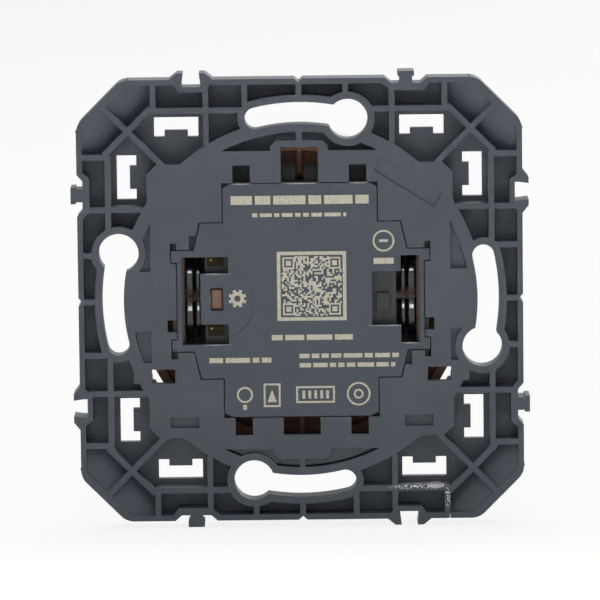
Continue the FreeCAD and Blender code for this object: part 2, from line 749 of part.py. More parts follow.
def make_module_housing():
    """Open shell of the module with board posts, two pairs of bores and slots for the prongs."""
    body = new_body("module_housing")
    rear = "(cover_sunk + cover_thick)"
    shell = new_sketch(body, "shell", rear)
    outline(shell, housing_outline("0"))
    pad(body, shell, "housing_depth - %s" % rear)
    cavity = new_sketch(body, "cavity", rear)
    outline(cavity, housing_outline("housing_wall"))
    pocket(body, cavity, "housing_depth - housing_wall - %s" % rear)
    posts = new_sketch(body, "posts", "board_rear + board_thick")
    for sign_x in ("", "-"):
        for sign_z in ("", "-"):
            circle(posts, sign_x + "post_x", sign_z + "post_z", "post_round")
    pad(body, posts, "housing_depth - housing_wall - board_rear - board_thick")
    bores = new_sketch(body, "lever_bores", role="YZ_Plane")
    circle(bores, "-lever_depth", "0", "shaft_round + fit_gap")
    pocket(body, bores, "2 * (housing_arm + cut_past)", both_ways=True)
    holes = new_sketch(body, "pin_holes", role="YZ_Plane")
    circle(holes, "-hinge_depth", "0", "hinge_pin_round")
    pocket(body, holes, "2 * (housing_arm + cut_past)", both_ways=True)
    slots = new_sketch(body, "prong_slots", "housing_depth - housing_wall")
    for sign_x in ("", "-"):
        for sign_z in ("", "-"):
            bar(slots, sign_x + "(lobe_in + lobe_out) / 2", sign_z + "lobe_at",
                "((lobe_out - lobe_in) / 2 + prong_slot_gap)", "(prong_high / 2 + prong_slot_gap)")
    pocket(body, slots, "housing_wall")
    return body


def make_harvester_lever():
    """Lever on one shaft: a lobed bar and a cheek at each side, and a saddle for the magnet."""
    body = new_body("harvester_lever")
    shaft = new_sketch(body, "shaft", role="YZ_Plane")
    circle(shaft, "-lever_depth", "0", "shaft_round")
    pad(body, shaft, "2 * (housing_arm - shaft_end_play)", both_ways=True)
    saddle = new_sketch(body, "saddle", role="YZ_Plane")
    rectangle(saddle, "-(core_depth + core_leg_thick / 2 + pole_gap + pole_thick)", "-saddle_rear",
              "-saddle_high", "saddle_high")
    pad(body, saddle, "2 * saddle_half", both_ways=True)
    for side, sign in (("right", ""), ("left", "-")):
        for piece, inner, outer, reach, round_end in (("lobe", "lobe_in", "lobe_out", "lobe_at", "lobe_round"),
                                                      ("cheek", "cheek_in", "cheek_out", "cheek_at", "cheek_round")):
            start = inner if sign == "" else "-" + outer
            web = new_sketch(body, "%s_web_%s" % (piece, side), start, role="YZ_Plane")
            rectangle(web, "-lever_depth - %s * web_share" % round_end, "-lever_depth + %s * web_share" % round_end,
                      "-" + reach, reach)
            pad(body, web, "%s - %s" % (outer, inner))
            for end in ("", "-"):
                tip = new_sketch(body, "%s_tip_%s_%s" % (piece, side, "low" if end else "high"), start, role="YZ_Plane")
                circle(tip, "-lever_depth", end + reach, round_end)
                pad(body, tip, "%s - %s" % (outer, inner))
    return body


def make_wear_plate(label, start):
    """Liner on the housing's side wall that guides the lever, bored for its shaft."""
    body = new_body(label)
    face = new_sketch(body, label + "_face", start, role="YZ_Plane")
    rectangle(face, "-wear_plate_front", "-cover_sunk - cover_thick - fit_gap", "-wear_plate_half", "wear_plate_half")
    circle(face, "-lever_depth", "0", "shaft_round + fit_gap")
    pad(body, face, "wear_plate_thick")
    return body


def make_pairing_plunger():
    """Setting button: a stem in the cover's window and a flange under the cover."""
    body = new_body("pairing_plunger")
    stem = new_sketch(body, "stem", "button_sunk")
    bar(stem, "button_x", "button_z", "button_wide / 2", "button_high / 2")
    under = "cover_sunk + cover_thick + button_play"
    pad(body, stem, "%s - button_sunk + button_flange_thick" % under)
    flange = new_sketch(body, "flange", under)
    bar(flange, "button_x", "button_z", "(button_wide / 2 + button_flange)", "(button_high / 2 + button_flange)")
    pad(body, flange, "button_flange_thick")
    return body


def make_coil_bobbin():
    """Bobbin: a bored tube between two square flanges that stand on the housing's floor."""
    body = new_body("coil_bobbin")
    tube = new_sketch(body, "tube", role="YZ_Plane")
    circle(tube, "-core_depth", "-coil_z", "coil_tube")
    pad(body, tube, "2 * coil_half", both_ways=True)
    for side, start in (("right", "coil_half - flange_thick"), ("left", "-coil_half")):
        flange = new_sketch(body, "flange_" + side, start, role="YZ_Plane")
        bar(flange, "-core_depth", "-coil_z", "flange_half", "flange_half")
        pad(body, flange, "flange_thick")
    bore = new_sketch(body, "bore", role="YZ_Plane")
    circle(bore, "-core_depth", "-coil_z", "core_bar_round + fit_gap")
    pocket(body, bore, "2 * (coil_half + cut_past)", both_ways=True)
    return body


def make_coil_winding():
    """Winding on the bobbin's tube."""
    body = new_body("coil_winding")
    coil = new_sketch(body, "coil", role="YZ_Plane")
    circle(coil, "-core_depth", "-coil_z", "coil_tube + fit_gap")
    circle(coil, "-core_depth", "-coil_z", "coil_round")
    pad(body, coil, "2 * (coil_half - flange_thick - fit_gap)", both_ways=True)
    return body


def make_circuit_board():
    """Board that leaves the side slots free and rests on the housing's posts."""
    body = new_body("circuit_board")
    board = new_sketch(body, "board", "board_rear")
    inset = "(housing_wall + board_gap)"
    outline(board, mirrored_ring([
        ("housing_head - " + inset, "housing_high - " + inset),
        ("board_half", "housing_waist_high - " + inset),
    ]))
    pad(body, board, "board_thick")
    return body


def make_antenna():
    """Stamped antenna strip that runs up and down in even folds on the board's rear."""
    body = new_body("antenna")
    made = new_sketch(body, "meander", "board_rear - antenna_thick")
    bars = int(value("antenna_bars"))
    ahead = []
    behind = []
    for number in range(bars):
        place = "%d * antenna_pitch" % (number - bars // 2)
        out, back = ("-", "+") if number % 2 == 0 else ("+", "-")
        side = "%s %s antenna_strip / 2" % (place, out)
        other = "%s %s antenna_strip / 2" % (place, back)
        rise = [(side, "antenna_z + antenna_strip / 2"), (side, "antenna_z + antenna_high + antenna_strip / 2")]
        fall = [(other, "antenna_z - antenna_strip / 2"), (other, "antenna_z + antenna_high - antenna_strip / 2")]
        if number % 2:
            rise.reverse()
            fall.reverse()
        ahead += rise
        behind += fall
    outline(made, ahead + behind[::-1])
    pad(body, made, "antenna_thick")
    return body


def make_contact_spring(label, height):
    """Gold contact: a foot on the board and a tongue that rises towards the slot."""
    body = new_body(label)
    strip = new_sketch(body, label + "_side", height, role="XY_Plane")
    foot = "-board_rear"
    outline(strip, [
        ("contact_x - contact_long", foot), ("contact_x", foot),
        ("contact_x", foot + " + contact_lift"), ("contact_x - contact_long", foot + " + contact_lift * contact_droop"),
        ("contact_x - contact_long", foot + " + contact_lift * contact_droop - contact_thick"),
        ("contact_x - contact_thick", foot + " + contact_lift - contact_thick"),
        ("contact_x - contact_thick", foot + " + contact_thick"),
        ("contact_x - contact_long", foot + " + contact_thick"),
    ])
    pad(body, strip, "contact_wide")
    return body


def make_hinge_pin(label, start):
    """Steel pin pressed into the housing's side wall."""
    body = new_body(label)
    pin = new_sketch(body, label + "_end", start, role="YZ_Plane")
    circle(pin, "-hinge_depth", "0", "hinge_pin_round")
    pad(body, pin, "hinge_pin_long")
    return body


def make_centring_spring():
    """Leaf spring on the housing's front whose two ends lean towards the carrier."""
    body = new_body("centring_spring")
    leaf = new_sketch(body, "leaf", role="YZ_Plane")
    tip = "carrier_depth - spring_gap"
    outline(leaf, [
        ("-housing_depth", "-spring_seat"), ("-housing_depth", "spring_seat"),
        (minus(tip + " - spring_thick"), "spring_half"), (minus(tip), "spring_half"),
        ("-housing_depth - spring_thick", "spring_seat"), ("-housing_depth - spring_thick", "-spring_seat"),
        (minus(tip), "-spring_half"), (minus(tip + " - spring_thick"), "-spring_half"),
    ])
    pad(body, leaf, "spring_wide", both_ways=True)
    return body


def make_rocker_carrier():
    """Carrier inside the cap: a disc with a ring, hinge ears, prongs for the lever and two ribs."""
    body = new_body("rocker_carrier")
    disc = new_sketch(body, "disc", "carrier_depth")
    circle(disc, "0", "0", "carrier_round")
    pad(body, disc, "carrier_thick")
    edge = "well_round - cap_gap"
    for name, start, end, outer, inner in (
            ("carrier_wall", "(cap_rear - carrier_flange)", "carrier_depth", "carrier_round", "carrier_ring"),
            ("carrier_flange", "(cap_rear - carrier_flange)", "cap_rear", edge, "(%s - carrier_round + carrier_ring)" % edge),
            ("carrier_rim", "rim_rear", "cap_rear", edge, "rim_thick")):
        band = new_sketch(body, name, start)
        circle(band, "0", "0", outer)
        circle(band, "0", "0", "%s - %s" % (outer, inner))
        pad(body, band, "%s - %s" % (end, start))
    ribs = new_sketch(body, "carrier_ribs", "carrier_depth - carrier_rib_long")
    for sign in ("", "-"):
        rectangle(ribs, "-carrier_rib_wide / 2", "carrier_rib_wide / 2",
                  sign + "carrier_rib_from", sign + "(carrier_round - carrier_ring / 2)")
    pad(body, ribs, "carrier_rib_long")
    for side, start in (("right", "ear_in"), ("left", "-ear_in - ear_thick")):
        ear = new_sketch(body, "ear_" + side, start, role="YZ_Plane")
        rectangle(ear, "-carrier_depth", "-hinge_depth", "-ear_round", "ear_round")
        pad(body, ear, "ear_thick")
        eye = new_sketch(body, "ear_end_" + side, start, role="YZ_Plane")
        circle(eye, "-hinge_depth", "0", "ear_round")
        pad(body, eye, "ear_thick")
    tip = "lever_depth + lobe_round + prong_gap"
    prongs = new_sketch(body, "prongs", tip)
    for sign_x in ("", "-"):
        for sign_z in ("", "-"):
            bar(prongs, sign_x + "(lobe_in + lobe_out) / 2", sign_z + "lobe_at", "(lobe_out - lobe_in) / 2", "prong_high / 2")
    pad(body, prongs, "carrier_depth - (%s)" % tip)
    bores = new_sketch(body, "ear_bores", role="YZ_Plane")
    circle(bores, "-hinge_depth", "0", "hinge_pin_round + hinge_gap")
    pocket(body, bores, "2 * (ear_in + ear_thick + cut_past)", both_ways=True)
    return body


def make_rocker_cap():
    """Round rocker turned from one profile: a flat front, a bevelled edge and a skirt down to the carrier's rim."""
    body = new_body("rocker_cap")
    half = new_sketch(body, "cap_half", role="XY_Plane")
    outer = "(well_round - cap_gap)"
    inner = "(well_round - cap_gap - cap_wall)"
    seat = "-(carrier_depth + carrier_thick)"
    front = seat + " - cap_front"
    outline(half, [("0", seat), (inner, seat), (inner, "-cap_rear"), (outer, "-cap_rear"),
                   (outer, front + " + cap_bevel"), (outer + " - cap_bevel", front), ("0", front)])
    turned = body.newObject("PartDesign::Revolution", "cap_turned")
    turned.Profile = half
    turned.ReferenceAxis = (origin_part(body, "Y_Axis"), [""])
    turned.Angle = 360
    return body


def make_cylinder(label, radius, length, start, depth, height):
    """Round bar along X from a start, at a depth and a height."""
    made = doc.addObject("Part::Cylinder", label)
    made.Label = label
    made.setExpression("Radius", bound(radius))
    made.setExpression("Height", bound(length))
    made.Placement = FreeCAD.Placement(V(0, 0, 0), FreeCAD.Rotation(V(0, 1, 0), 90))
    made.setExpression("Placement.Base.x", bound(start))
    made.setExpression("Placement.Base.y", bound(minus(depth)))
    made.setExpression("Placement.Base.z", bound(height))
    return made


def make_block(label, across, depth, up, wide, thick, high):
    """Block by the middle across, the depth of its rear face, its middle up, and its three sizes."""
    made = doc.addObject("Part::Box", label)
    made.Label = label
    made.setExpression("Length", bound(wide))
    made.setExpression("Width", bound(thick))
    made.setExpression("Height", bound(high))
    made.setExpression("Placement.Base.x", bound("%s - (%s) / 2" % (across, wide)))
    made.setExpression("Placement.Base.y", bound("-(%s) - (%s)" % (depth, thick)))
    made.setExpression("Placement.Base.z", bound("%s - (%s) / 2" % (up, high)))
    return made


def make_harvester_iron():
    """Iron circuit: a bar through the coil, two legs on its ends, and the moving plates with their magnet."""
    leg_long = "coil_z + core_leg_wide / 2 - core_leg_top"
    leg_middle = "-(coil_z + core_leg_wide / 2 + core_leg_top) / 2"
    rear = "core_depth - core_leg_thick / 2"
    pieces = [make_cylinder("core_bar", "core_bar_round", "2 * core_leg_in", "-core_leg_in", "core_depth", "-coil_z")]
    for side, sign in (("right", ""), ("left", "-")):
        middle = sign + "(core_leg_in + core_leg_wide / 2)"
        pieces.append(make_block("core_leg_" + side, middle, rear, leg_middle, "core_leg_wide", "core_leg_thick", leg_long))
    plate_middle = "-(saddle_high + pole_high / 2)"
    reach = "2 * (core_leg_in + core_leg_wide)"
    first = rear + " - pole_gap - pole_thick"
    second = rear + " + core_leg_thick + pole_gap"
    pieces.append(make_block("pole_plate_rear", "0", first, plate_middle, reach, "pole_thick", "pole_high"))
    pieces.append(make_block("pole_plate_front", "0", second, plate_middle, reach, "pole_thick", "pole_high"))
    pieces.append(make_block("magnet", "0", rear + " - pole_gap", plate_middle,
                             "2 * magnet_half", "core_leg_thick + 2 * pole_gap", "pole_high"))
    return pieces


def make_electronics():
    """What the board carries on its rear and on its front."""
    front = "board_rear + board_thick"
    switch_rear = "cover_sunk + cover_thick + 2 * button_play + button_flange_thick + button_travel"
    return [
        make_block("radio_chip", "chip_x", "board_rear - chip_thick", "chip_z", "chip_side", "chip_thick", "chip_side"),
        make_block("chip_inductor", "inductor_x", "board_rear - inductor_thick", "inductor_z",
                   "inductor_wide", "inductor_thick", "inductor_long"),
        make_block("pairing_switch", "button_x", switch_rear, "button_z",
                   "switch_side", "board_rear - (%s)" % switch_rear, "switch_side"),
        make_block("rectifier", "rectifier_x", front, "rectifier_z", "rectifier_side", "rectifier_thick", "rectifier_side"),
        make_cylinder("storage_capacitor", "capacitor_round", "capacitor_long", "-capacitor_long / 2",
                      front + " + fit_gap + capacitor_round", "capacitor_z"),
    ]


def check_and_write(pieces):
    """Stop at anything that failed, then write each piece to its own file."""
    doc.recompute()
    for item in doc.Objects:
        if "Invalid" in item.State or "Error" in item.State:
            raise ValueError("%s of %s: %s" % (item.Name, [owner.Label for owner in item.InList], item.State))
    os.makedirs("parts", exist_ok=True)
    for piece in pieces:
        if piece.Shape.isNull() or not piece.Shape.isValid():
            raise ValueError("%s has no valid shape" % piece.Label)
        piece.Shape.exportStep("parts/%s.step" % piece.Label)


inner_wall = "housing_arm - housing_wall"
check_and_write([
    make_support_frame(),
    make_rear_cover(),
    make_module_housing(),
    make_circuit_board(),
    make_antenna(),
    make_contact_spring("contact_spring_upper", "contact_upper"),
    make_contact_spring("contact_spring_lower", "contact_lower"),
    *make_electronics(),
    make_pairing_plunger(),
    make_coil_bobbin(),
    make_coil_winding(),
    *make_harvester_iron(),
    make_harvester_lever(),
    make_wear_plate("wear_plate_right", "%s - wear_plate_thick" % inner_wall),
    make_wear_plate("wear_plate_left", "-(%s)" % inner_wall),
    make_hinge_pin("hinge_pin_right", inner_wall),
    make_hinge_pin("hinge_pin_left", "-(%s) - hinge_pin_long" % inner_wall),
    make_centring_spring(),
    make_rocker_carrier(),
    make_rocker_cap(),
])
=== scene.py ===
import math
import random
import bmesh
import bpy
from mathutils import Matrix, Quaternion, Vector


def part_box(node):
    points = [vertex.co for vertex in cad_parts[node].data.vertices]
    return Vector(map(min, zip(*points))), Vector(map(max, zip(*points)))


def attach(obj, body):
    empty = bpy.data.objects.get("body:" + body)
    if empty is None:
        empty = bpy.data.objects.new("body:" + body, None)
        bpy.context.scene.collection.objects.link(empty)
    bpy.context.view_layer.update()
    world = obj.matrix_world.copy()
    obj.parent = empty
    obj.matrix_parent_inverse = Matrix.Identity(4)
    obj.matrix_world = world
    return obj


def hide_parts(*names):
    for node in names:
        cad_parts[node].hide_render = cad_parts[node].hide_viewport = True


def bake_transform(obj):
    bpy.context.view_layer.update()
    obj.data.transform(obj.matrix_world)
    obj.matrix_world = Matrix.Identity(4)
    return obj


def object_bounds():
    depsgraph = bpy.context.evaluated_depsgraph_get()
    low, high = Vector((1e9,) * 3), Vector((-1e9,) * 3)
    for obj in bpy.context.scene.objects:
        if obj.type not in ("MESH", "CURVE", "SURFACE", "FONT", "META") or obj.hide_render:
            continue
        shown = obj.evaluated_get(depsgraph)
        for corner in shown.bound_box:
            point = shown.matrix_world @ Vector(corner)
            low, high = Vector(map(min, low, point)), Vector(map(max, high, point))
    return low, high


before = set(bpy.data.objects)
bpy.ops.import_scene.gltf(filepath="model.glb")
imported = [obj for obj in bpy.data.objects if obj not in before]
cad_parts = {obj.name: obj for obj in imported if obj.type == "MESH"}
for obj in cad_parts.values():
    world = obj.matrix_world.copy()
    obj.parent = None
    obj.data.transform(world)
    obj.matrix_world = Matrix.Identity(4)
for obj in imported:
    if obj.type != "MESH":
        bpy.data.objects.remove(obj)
solid_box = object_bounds()


# Support frame: one injection moulding in anthracite thermoplastic, with a fine spark-eroded texture.
# Its faces are semi-matt, with white dust on the ribs near one corner and faint specks elsewhere.
def srgb(red, green, blue):
    """Linear colour of an 8-bit screen colour."""
    parts = [value / 255 for value in (red, green, blue)]
    return [p / 12.92 if p <= 0.04045 else ((p + 0.055) / 1.055) ** 2.4 for p in parts] + [1.0]


def new_surface(name, roughness=0.5, metallic=0.0):
    """A node material, with its tree, its shader and the object's own coordinates."""
    made = bpy.data.materials.new(name)
    made.use_nodes = True
    tree = made.node_tree
    shader = tree.nodes["Principled BSDF"]
    shader.inputs["Roughness"].default_value = roughness
    shader.inputs["Metallic"].default_value = metallic
    where = tree.nodes.new("ShaderNodeTexCoord").outputs["Object"]
    return made, tree, shader, where


def noise(tree, where, size, detail=3.0, stretch=(1, 1, 1)):
    """Noise with features of about that size in metres, stretched along an axis where asked."""
    scaled = tree.nodes.new("ShaderNodeMapping")
    scaled.inputs["Scale"].default_value = [part / size for part in stretch]
    tree.links.new(where, scaled.inputs["Vector"])
    made = tree.nodes.new("ShaderNodeTexNoise")
    made.inputs["Scale"].default_value = 1.0
    made.inputs["Detail"].default_value = detail
    tree.links.new(scaled.outputs["Vector"], made.inputs["Vector"])
    return made.outputs["Fac"]


def shades(tree, factor, low, high, start=0.3, end=0.7):
    """Colour that goes from low to high as the factor goes from start to end."""
    ramp = tree.nodes.new("ShaderNodeValToRGB")
    ramp.color_ramp.elements[0].position = start
    ramp.color_ramp.elements[0].color = low
    ramp.color_ramp.elements[1].position = end
    ramp.color_ramp.elements[1].color = high
    tree.links.new(factor, ramp.inputs["Fac"])
    return ramp.outputs["Color"]


def levels(tree, factor, low, high, start=0.3, end=0.7):
    """Value that goes from low to high as the factor goes from start to end, and stays there beyond."""
    scale = tree.nodes.new("ShaderNodeMapRange")
    for name, value in (("From Min", start), ("From Max", end), ("To Min", low), ("To Max", high)):
        scale.inputs[name].default_value = value
    tree.links.new(factor, scale.inputs["Value"])
    return scale.outputs["Result"]


def raised(tree, shader, height, depth, edge=0.0):
    """Bump of the given depth in metres, over edges that look rounded to the given radius."""
    bump = tree.nodes.new("ShaderNodeBump")
    bump.inputs["Distance"].default_value = depth
    tree.links.new(height, bump.inputs["Height"])
    if edge:
        round_off = tree.nodes.new("ShaderNodeBevel")
        round_off.inputs["Radius"].default_value = edge
        tree.links.new(round_off.outputs["Normal"], bump.inputs["Normal"])
    tree.links.new(bump.outputs["Normal"], shader.inputs["Normal"])


def near_spot(tree, where, spot, reach):
    """1 at the spot, falling to 0 at the reach along each axis."""
    centred = tree.nodes.new("ShaderNodeMapping")
    centred.inputs["Scale"].default_value = [1 / part for part in reach]
    centred.inputs["Location"].default_value = [-place / part for place, part in zip(spot, reach)]
    tree.links.new(where, centred.inputs["Vector"])
    ball = tree.nodes.new("ShaderNodeTexGradient")
    ball.gradient_type = "SPHERICAL"
    tree.links.new(centred.outputs["Vector"], ball.inputs["Vector"])
    return ball.outputs["Fac"]


def in_spots(tree, where, spots, start, end, most=1.0):
    """The largest value inside any of the spots, given by place and reach, and 0 outside them all."""
    found = None
    for spot, reach in spots:
        here = levels(tree, near_spot(tree, where, spot, reach), 0.0, most, start, end)
        found = here if found is None else join_values(tree, "MAXIMUM", found, here)
    return found


def join_values(tree, kind, first, second):
    """The two values joined by a kind of sum, such as ADD, MULTIPLY or MAXIMUM."""
    sums = tree.nodes.new("ShaderNodeMath")
    sums.operation = kind
    tree.links.new(first, sums.inputs[0])
    tree.links.new(second, sums.inputs[1])
    return sums.outputs["Value"]


def mixed(tree, factor, first, second):
    """First colour where the factor is 0, second colour where it is 1."""
    mix = tree.nodes.new("ShaderNodeMix")
    mix.data_type = "RGBA"
    tree.links.new(factor, mix.inputs["Factor"])
    tree.links.new(first, mix.inputs["A"])
    tree.links.new(second, mix.inputs["B"])
    return mix.outputs["Result"]


def dress(material, *names):
    """These CAD pieces get the material in all their slots."""
    for name in names:
        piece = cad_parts[name]
        if not piece.material_slots:
            piece.data.materials.append(material)
        for place in piece.material_slots:
            place.material = material


def moulded(name, colour, roughness, grain, cloud=0.12, depth=2e-5, edge=1.2e-4):
    """Moulded plastic: a fine grain in relief and gloss, and a slow drift of the colour."""
    made, tree, shader, where = new_surface(name, roughness)
    drift = noise(tree, where, 9e-3, 4.0)
    low = [part * (1 - cloud) for part in colour[:3]] + [1.0]
    high = [part * (1 + cloud) for part in colour[:3]] + [1.0]
    tint = shades(tree, drift, low, high)
    tree.links.new(tint, shader.inputs["Base Color"])
    fine = noise(tree, where, grain, 2.0)
    tree.links.new(levels(tree, fine, roughness - 0.08, roughness + 0.1), shader.inputs["Roughness"])
    raised(tree, shader, fine, depth, edge)
    return made, tree, shader, where, tint


frame_plastic, tree, shader, where, tint = moulded("anthracite_plastic", srgb(66, 73, 82), 0.5, 1.8e-4)
DUST_LINES = [((-0.0195, 0, -0.0301), (0.0042, 0.004, 0.0008)),
              ((-0.0232, 0, -0.0320), (0.0006, 0.003, 0.0022)),
              ((-0.0170, 0, -0.0303), (0.0040, 0.003, 0.0005)),
              ((-0.0235, 0, -0.0352), (0.0005, 0.002, 0.0005))]
DUST_HEAP = (-0.0214, 0, -0.0299), (0.0021, 0.005, 0.0010)
dust_grain = levels(tree, noise(tree, where, 3.5e-4, 4.0), 0.0, 1.0, 0.5, 0.56)
dusty = join_values(tree, "MULTIPLY", in_spots(tree, where, DUST_LINES, 0.05, 0.6), dust_grain)
specks = levels(tree, noise(tree, where, 6e-4, 2.0), 0.0, 0.35, 0.755, 0.78)
dusty = join_values(tree, "MAXIMUM", dusty, specks)
heap_edge = levels(tree, noise(tree, where, 5e-4, 4.0), 0.2, 1.0, 0.35, 0.65)
heap = join_values(tree, "MULTIPLY", near_spot(tree, where, *DUST_HEAP), heap_edge)
dusty = join_values(tree, "MAXIMUM", dusty, levels(tree, heap, 0.0, 1.0, 0.12, 0.22))
white_dust = shades(tree, dust_grain, srgb(196, 197, 198), srgb(232, 233, 236))
tree.links.new(mixed(tree, dusty, tint, white_dust), shader.inputs["Base Color"])
dress(frame_plastic, "support_frame")


def new_piece(name, mesh_maker, material, body, smooth=False):
    """A mesh object in the model's own frame, riding on a body if one is named."""
    mesh = bpy.data.meshes.new(name)
    shape = bmesh.new()
    mesh_maker(shape)
    bmesh.ops.recalc_face_normals(shape, faces=shape.faces)
    shape.to_mesh(mesh)
    shape.free()
    mesh.materials.append(material)
    for face in mesh.polygons:
        face.use_smooth = smooth
    made = bpy.data.objects.new(name, mesh)
    bpy.context.scene.collection.objects.link(made)
    if body:
        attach(made, body)
    return made


def add_skin(shape, rings):
    """Closed skin over a row of rings of (x, y, z) points, with a flat face at each end."""
    rows = [[shape.verts.new(point) for point in ring] for ring in rings]
    for near, far in zip(rows, rows[1:]):
        for number in range(len(near)):
            after = (number + 1) % len(near)
            shape.faces.new((near[number], far[number], far[after], near[after]))
    shape.faces.new(rows[0])
    shape.faces.new(rows[-1][::-1])


def add_plate(shape, outline, near, far):
    """Plate with the given (x, z) outline between two y places."""
    add_skin(shape, [[(x, y, z) for x, z in outline] for y in (near, far)])


def around(x, z, radius, turn):
    """Point at a radius and a turn round (x, z)."""
    return x + radius * math.cos(turn), z + radius * math.sin(turn)


def corner_ramps(shape):
    """Ramp in each corner, from the brace up to the plate's slanted edge, between the two stub ribs."""
    stub, rim, brace, edge = 23.2e-3, 34.9e-3, 54.65e-3, 62.65e-3
    foot, low, high = 4.05e-3, 2.7e-3, 0.1e-3
    outline = [(rim, stub), (rim, edge - rim), (edge - rim, rim),
               (stub, rim), (stub, brace - stub), (brace - stub, stub)]
    slopes = [low + (high - low) * (x + z - brace) / (edge - brace) for x, z in outline]
    for turn_x, turn_z in ((1, 1), (-1, 1), (-1, -1), (1, -1)):
        add_skin(shape, [[(turn_x * x, -deep, turn_z * z) for (x, z), deep in zip(outline, depths)]
                         for depths in (slopes, [foot] * len(outline))])


new_piece("corner_ramps", corner_ramps, frame_plastic, "frame")


def recess_ends(shape):
    """Outer ends of two side recesses' floors, out to the ring wall."""
    inner, ring, near, far = 25.8e-3, 27.4e-3, -1.05e-3, -1.75e-3
    arc = [around(0, 0, ring, math.radians(170.5 - step)) for step in range(11)]
    outline = arc + [(-inner, arc[-1][1]), (-inner, arc[0][1])]
    for half_turn in (1, -1):
        add_plate(shape, [(half_turn * x, half_turn * z) for x, z in outline], near, far)


new_piece("recess_ends", recess_ends, frame_plastic, "frame")


def channel_floor(shape):
    """Shallow floor between the land's lower edge and the ring wall, as the rear shows it."""
    top, ring, near, far = -21.9e-3, 26.75e-3, -0.9e-3, -1.5e-3
    arc = [around(0, 0, ring, math.radians(-126 + step * 3)) for step in range(25)]
    add_plate(shape, arc + [(arc[-1][0], top), (arc[0][0], top)], near, far)


new_piece("channel_floor", channel_floor, frame_plastic, "frame")


# Rear cover and housing of the wireless module: moulded in the same dark plastic, a shade smoother.
# The cover's slots let the lever, the contacts and the board show.
# Pale lines are painted along some of its edges: painted highlights where the top face, slot edges and a
# window edge catch the light.
cover_plastic, tree, shader, where, tint = moulded("cover_plastic", srgb(61, 69, 79), 0.46, 2.2e-4, 0.08)
cover_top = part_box("rear_cover")[1].z
# Painted highlights: pale strips on the cover's top face, on some slot edges and on the button window's
# edge, standing in for light those edges catch.
PALE_LINE, PALE_DEEP = 1e-4, 6e-4
painted_highlight_edges = [((x, 0, cover_top), (reach, 10 * PALE_DEEP, 1.2 * PALE_LINE))
              for x, reach in ((9.3e-3, 1.7e-3), (-9.3e-3, 1.7e-3), (0, 3.3e-3))]
painted_highlight_edges += [((x, 0, z), (reach, PALE_DEEP, PALE_LINE))
               for x, z, reach in ((-13.6e-3, -4.2e-3, 3.1e-3), (13.5e-3, 4.35e-3, 2.7e-3),
                                   (13.5e-3, -7.05e-3, 2.7e-3), (-17.5e-3, -7.05e-3, 1.7e-3))]
painted_highlight_edges += [((14.36e-3, 0, 0.1e-3), (1.6 * PALE_LINE, PALE_DEEP, 2.1e-3))]
pale = shades(tree, noise(tree, where, 4e-4), srgb(176, 180, 186), srgb(226, 229, 233))
on_painted_highlights = in_spots(tree, where, painted_highlight_edges, 0.02, 0.25)
tree.links.new(mixed(tree, on_painted_highlights, tint, pale), shader.inputs["Base Color"])
dress(cover_plastic, "rear_cover")
housing_plastic = moulded("housing_plastic", srgb(40, 42, 45), 0.48, 2.5e-4, 0.1)[0]
dress(housing_plastic, "module_housing")


# Printing on the rear cover: pale beige ink from a pad, in rows, a framed square of cells and simple signs.
# The ink lies a few hundredths of a millimetre thick on the cover and wears thin in places.
INK_THICK = 3e-5
INK_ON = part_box("rear_cover")[1].y
ink_random = random.Random(7)


def ink_material():
    """Pale ink with pinholes where the pad left it thin."""
    made, tree, shader, where = new_surface("printed_ink", 0.55)
    thin = noise(tree, where, 1.6e-4, 3.0)
    tree.links.new(shades(tree, thin, srgb(150, 147, 136), srgb(202, 197, 180), 0.3, 0.5),
                   shader.inputs["Base Color"])
    tree.links.new(levels(tree, thin, 0.5, 0.7), shader.inputs["Roughness"])
    raised(tree, shader, thin, 8e-6)
    return made


def inked(shape, points):
    """A patch of ink, from (x, z) points in millimetres as one sees the rear, x to the right."""
    add_plate(shape, [(-x / 1000, z / 1000) for x, z in points], INK_ON, INK_ON + INK_THICK)


def ink_box(shape, left, right, low, high):
    """An upright rectangle of ink."""
    inked(shape, [(left, low), (right, low), (right, high), (left, high)])


def ink_row(shape, left, right, middle, high, gap):
    """A row of bars of uneven length, with gaps between them."""
    place = left
    while place < right:
        end = min(right, place + high * ink_random.uniform(1.2, 5.0))
        ink_box(shape, place, end, middle - high / 2, middle + high / 2)
        place = end + gap


def ink_ring(shape, x, z, outer, inner, steps=28):
    """A ring, as a band of patches round it."""
    turns = [2 * math.pi * step / steps for step in range(steps + 1)]
    for start, end in zip(turns, turns[1:]):
        inked(shape, [around(x, z, outer, start), around(x, z, outer, end),
                      around(x, z, inner, end), around(x, z, inner, start)])


def ink_frame(shape, left, right, low, high, wall):
    """Four bars round a rectangle."""
    ink_box(shape, left, right, high - wall, high)
    ink_box(shape, left, right, low, low + wall)
    ink_box(shape, left, left + wall, low + wall, high - wall)
    ink_box(shape, right - wall, right, low + wall, high - wall)


def print_rows(shape):
    """Rows of bars where the cover has its lines of printing."""
    for left, right, middle, high, gap in (
            (-11.0, 11.0, 16.1, 1.4, 0.45), (-7.6, 7.4, 13.7, 0.6, 0.4), (-4.7, 8.4, -6.0, 0.85, 0.4),
            (-14.7, -4.8, -9.6, 0.8, 0.4), (-0.3, 15.6, -9.0, 0.7, 0.35), (-0.3, 15.0, -10.5, 0.7, 0.35)):
        ink_row(shape, left, right, middle, high, gap)


